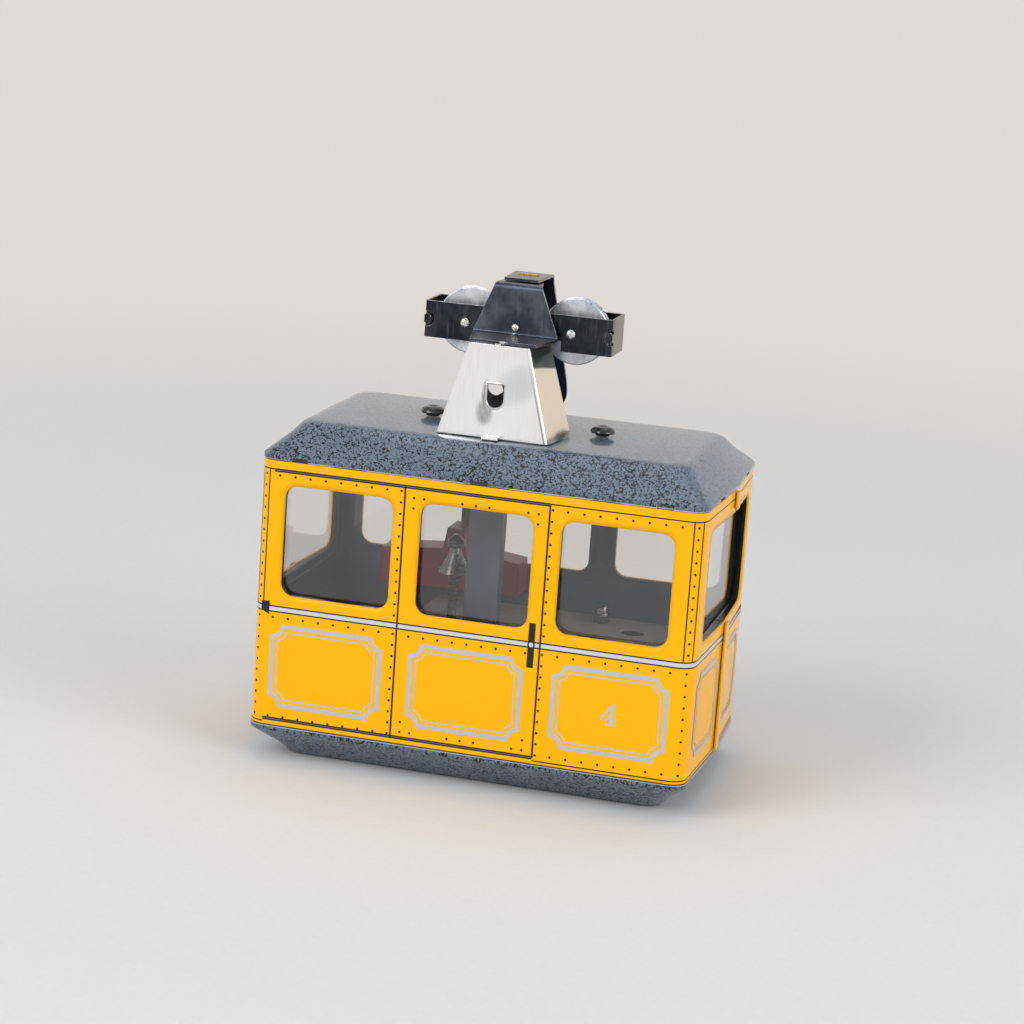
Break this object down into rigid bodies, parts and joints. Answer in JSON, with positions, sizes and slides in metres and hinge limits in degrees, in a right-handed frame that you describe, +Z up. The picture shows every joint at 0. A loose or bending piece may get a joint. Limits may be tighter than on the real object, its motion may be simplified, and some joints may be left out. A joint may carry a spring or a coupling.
{
  "type": "toy cable car cabin",
  "caption": "Tin toy cable car cabin: hollow yellow body with windows, pressed grey roof and tub, a bright roof tower and a rocking carriage with grooved rope wheels.",
  "frame": {"origin": "centre of the box's underside, on the flat bottom of the tub that the toy stands on", "axes": "+X along the cabin to the viewer's right, -Y out of the front with the door, +Z up to the rope wheels"},
  "size_m": [0.1138, 0.065, 0.1223],
  "materials": {
    "yellow_litho": "glossy printed yellow lacquer on tinplate, with thin dark lines",
    "grey_crackle": "glossy blue grey enamel with a fine dark crackle",
    "clear_sheet": "thin clear sheet, slightly grey",
    "floor_paint": "satin light grey lacquer",
    "inner_paint": "satin blue grey lacquer",
    "dark_red": "dark red lacquer",
    "bright_metal": "bright turned steel",
    "black_enamel": "glossy black enamel",
    "tinplate": "bright rolled tinplate",
    "blackened_steel": "blackened spring steel, slightly worn at the edges",
    "brass": "plain brass strip",
    "zinc": "mottled zinc, dull and bright patches"
  },
  "bodies": {
    "cabin": {"wall_front": "yellow_litho", "wall_rear": "yellow_litho", "seam_strap_left_upper": "yellow_litho", "seam_strap_left_lower": "yellow_litho", "seam_strap_right_upper": "yellow_litho", "seam_strap_right_lower": "yellow_litho", "roof_pan": "grey_crackle", "tub_pan": "grey_crackle", "glazing_front": "clear_sheet", "glazing_rear": "clear_sheet", "glazing_left": "clear_sheet", "glazing_right": "clear_sheet", "inner_floor": "floor_paint", "centre_column": "inner_paint", "rear_box": "dark_red", "turned_post": "bright_metal", "acorn_nut": "bright_metal", "roof_knob_left": "black_enamel", "roof_knob_right": "black_enamel", "tower_front": "tinplate", "tower_back": "tinplate", "hanger_cheek": "blackened_steel", "hanger_back": "blackened_steel", "brass_tab": "brass", "pivot_rivet": "bright_metal"},
    "carriage": {"carriage_front": "blackened_steel", "carriage_rear": "blackened_steel", "axle_left": "bright_metal", "axle_right": "bright_metal"},
    "left_wheel": {"wheel_left": "zinc"},
    "right_wheel": {"wheel_right": "zinc"}
  },
  "joints": [
    {"name": "carriage_rock", "type": "hinge", "parent": "cabin", "child": "carriage", "pos_m": [0, 0, 0.1104], "axis": [0, 1, 0], "range_deg": [-20, 20]},
    {"name": "left_wheel_spin", "type": "hinge", "parent": "carriage", "child": "left_wheel", "pos_m": [-0.0133, 0, 0.1098], "axis": [0, 1, 0], "continuous": true},
    {"name": "right_wheel_spin", "type": "hinge", "parent": "carriage", "child": "right_wheel", "pos_m": [0.0133, 0, 0.1098], "axis": [0, 1, 0], "continuous": true}
  ]
}
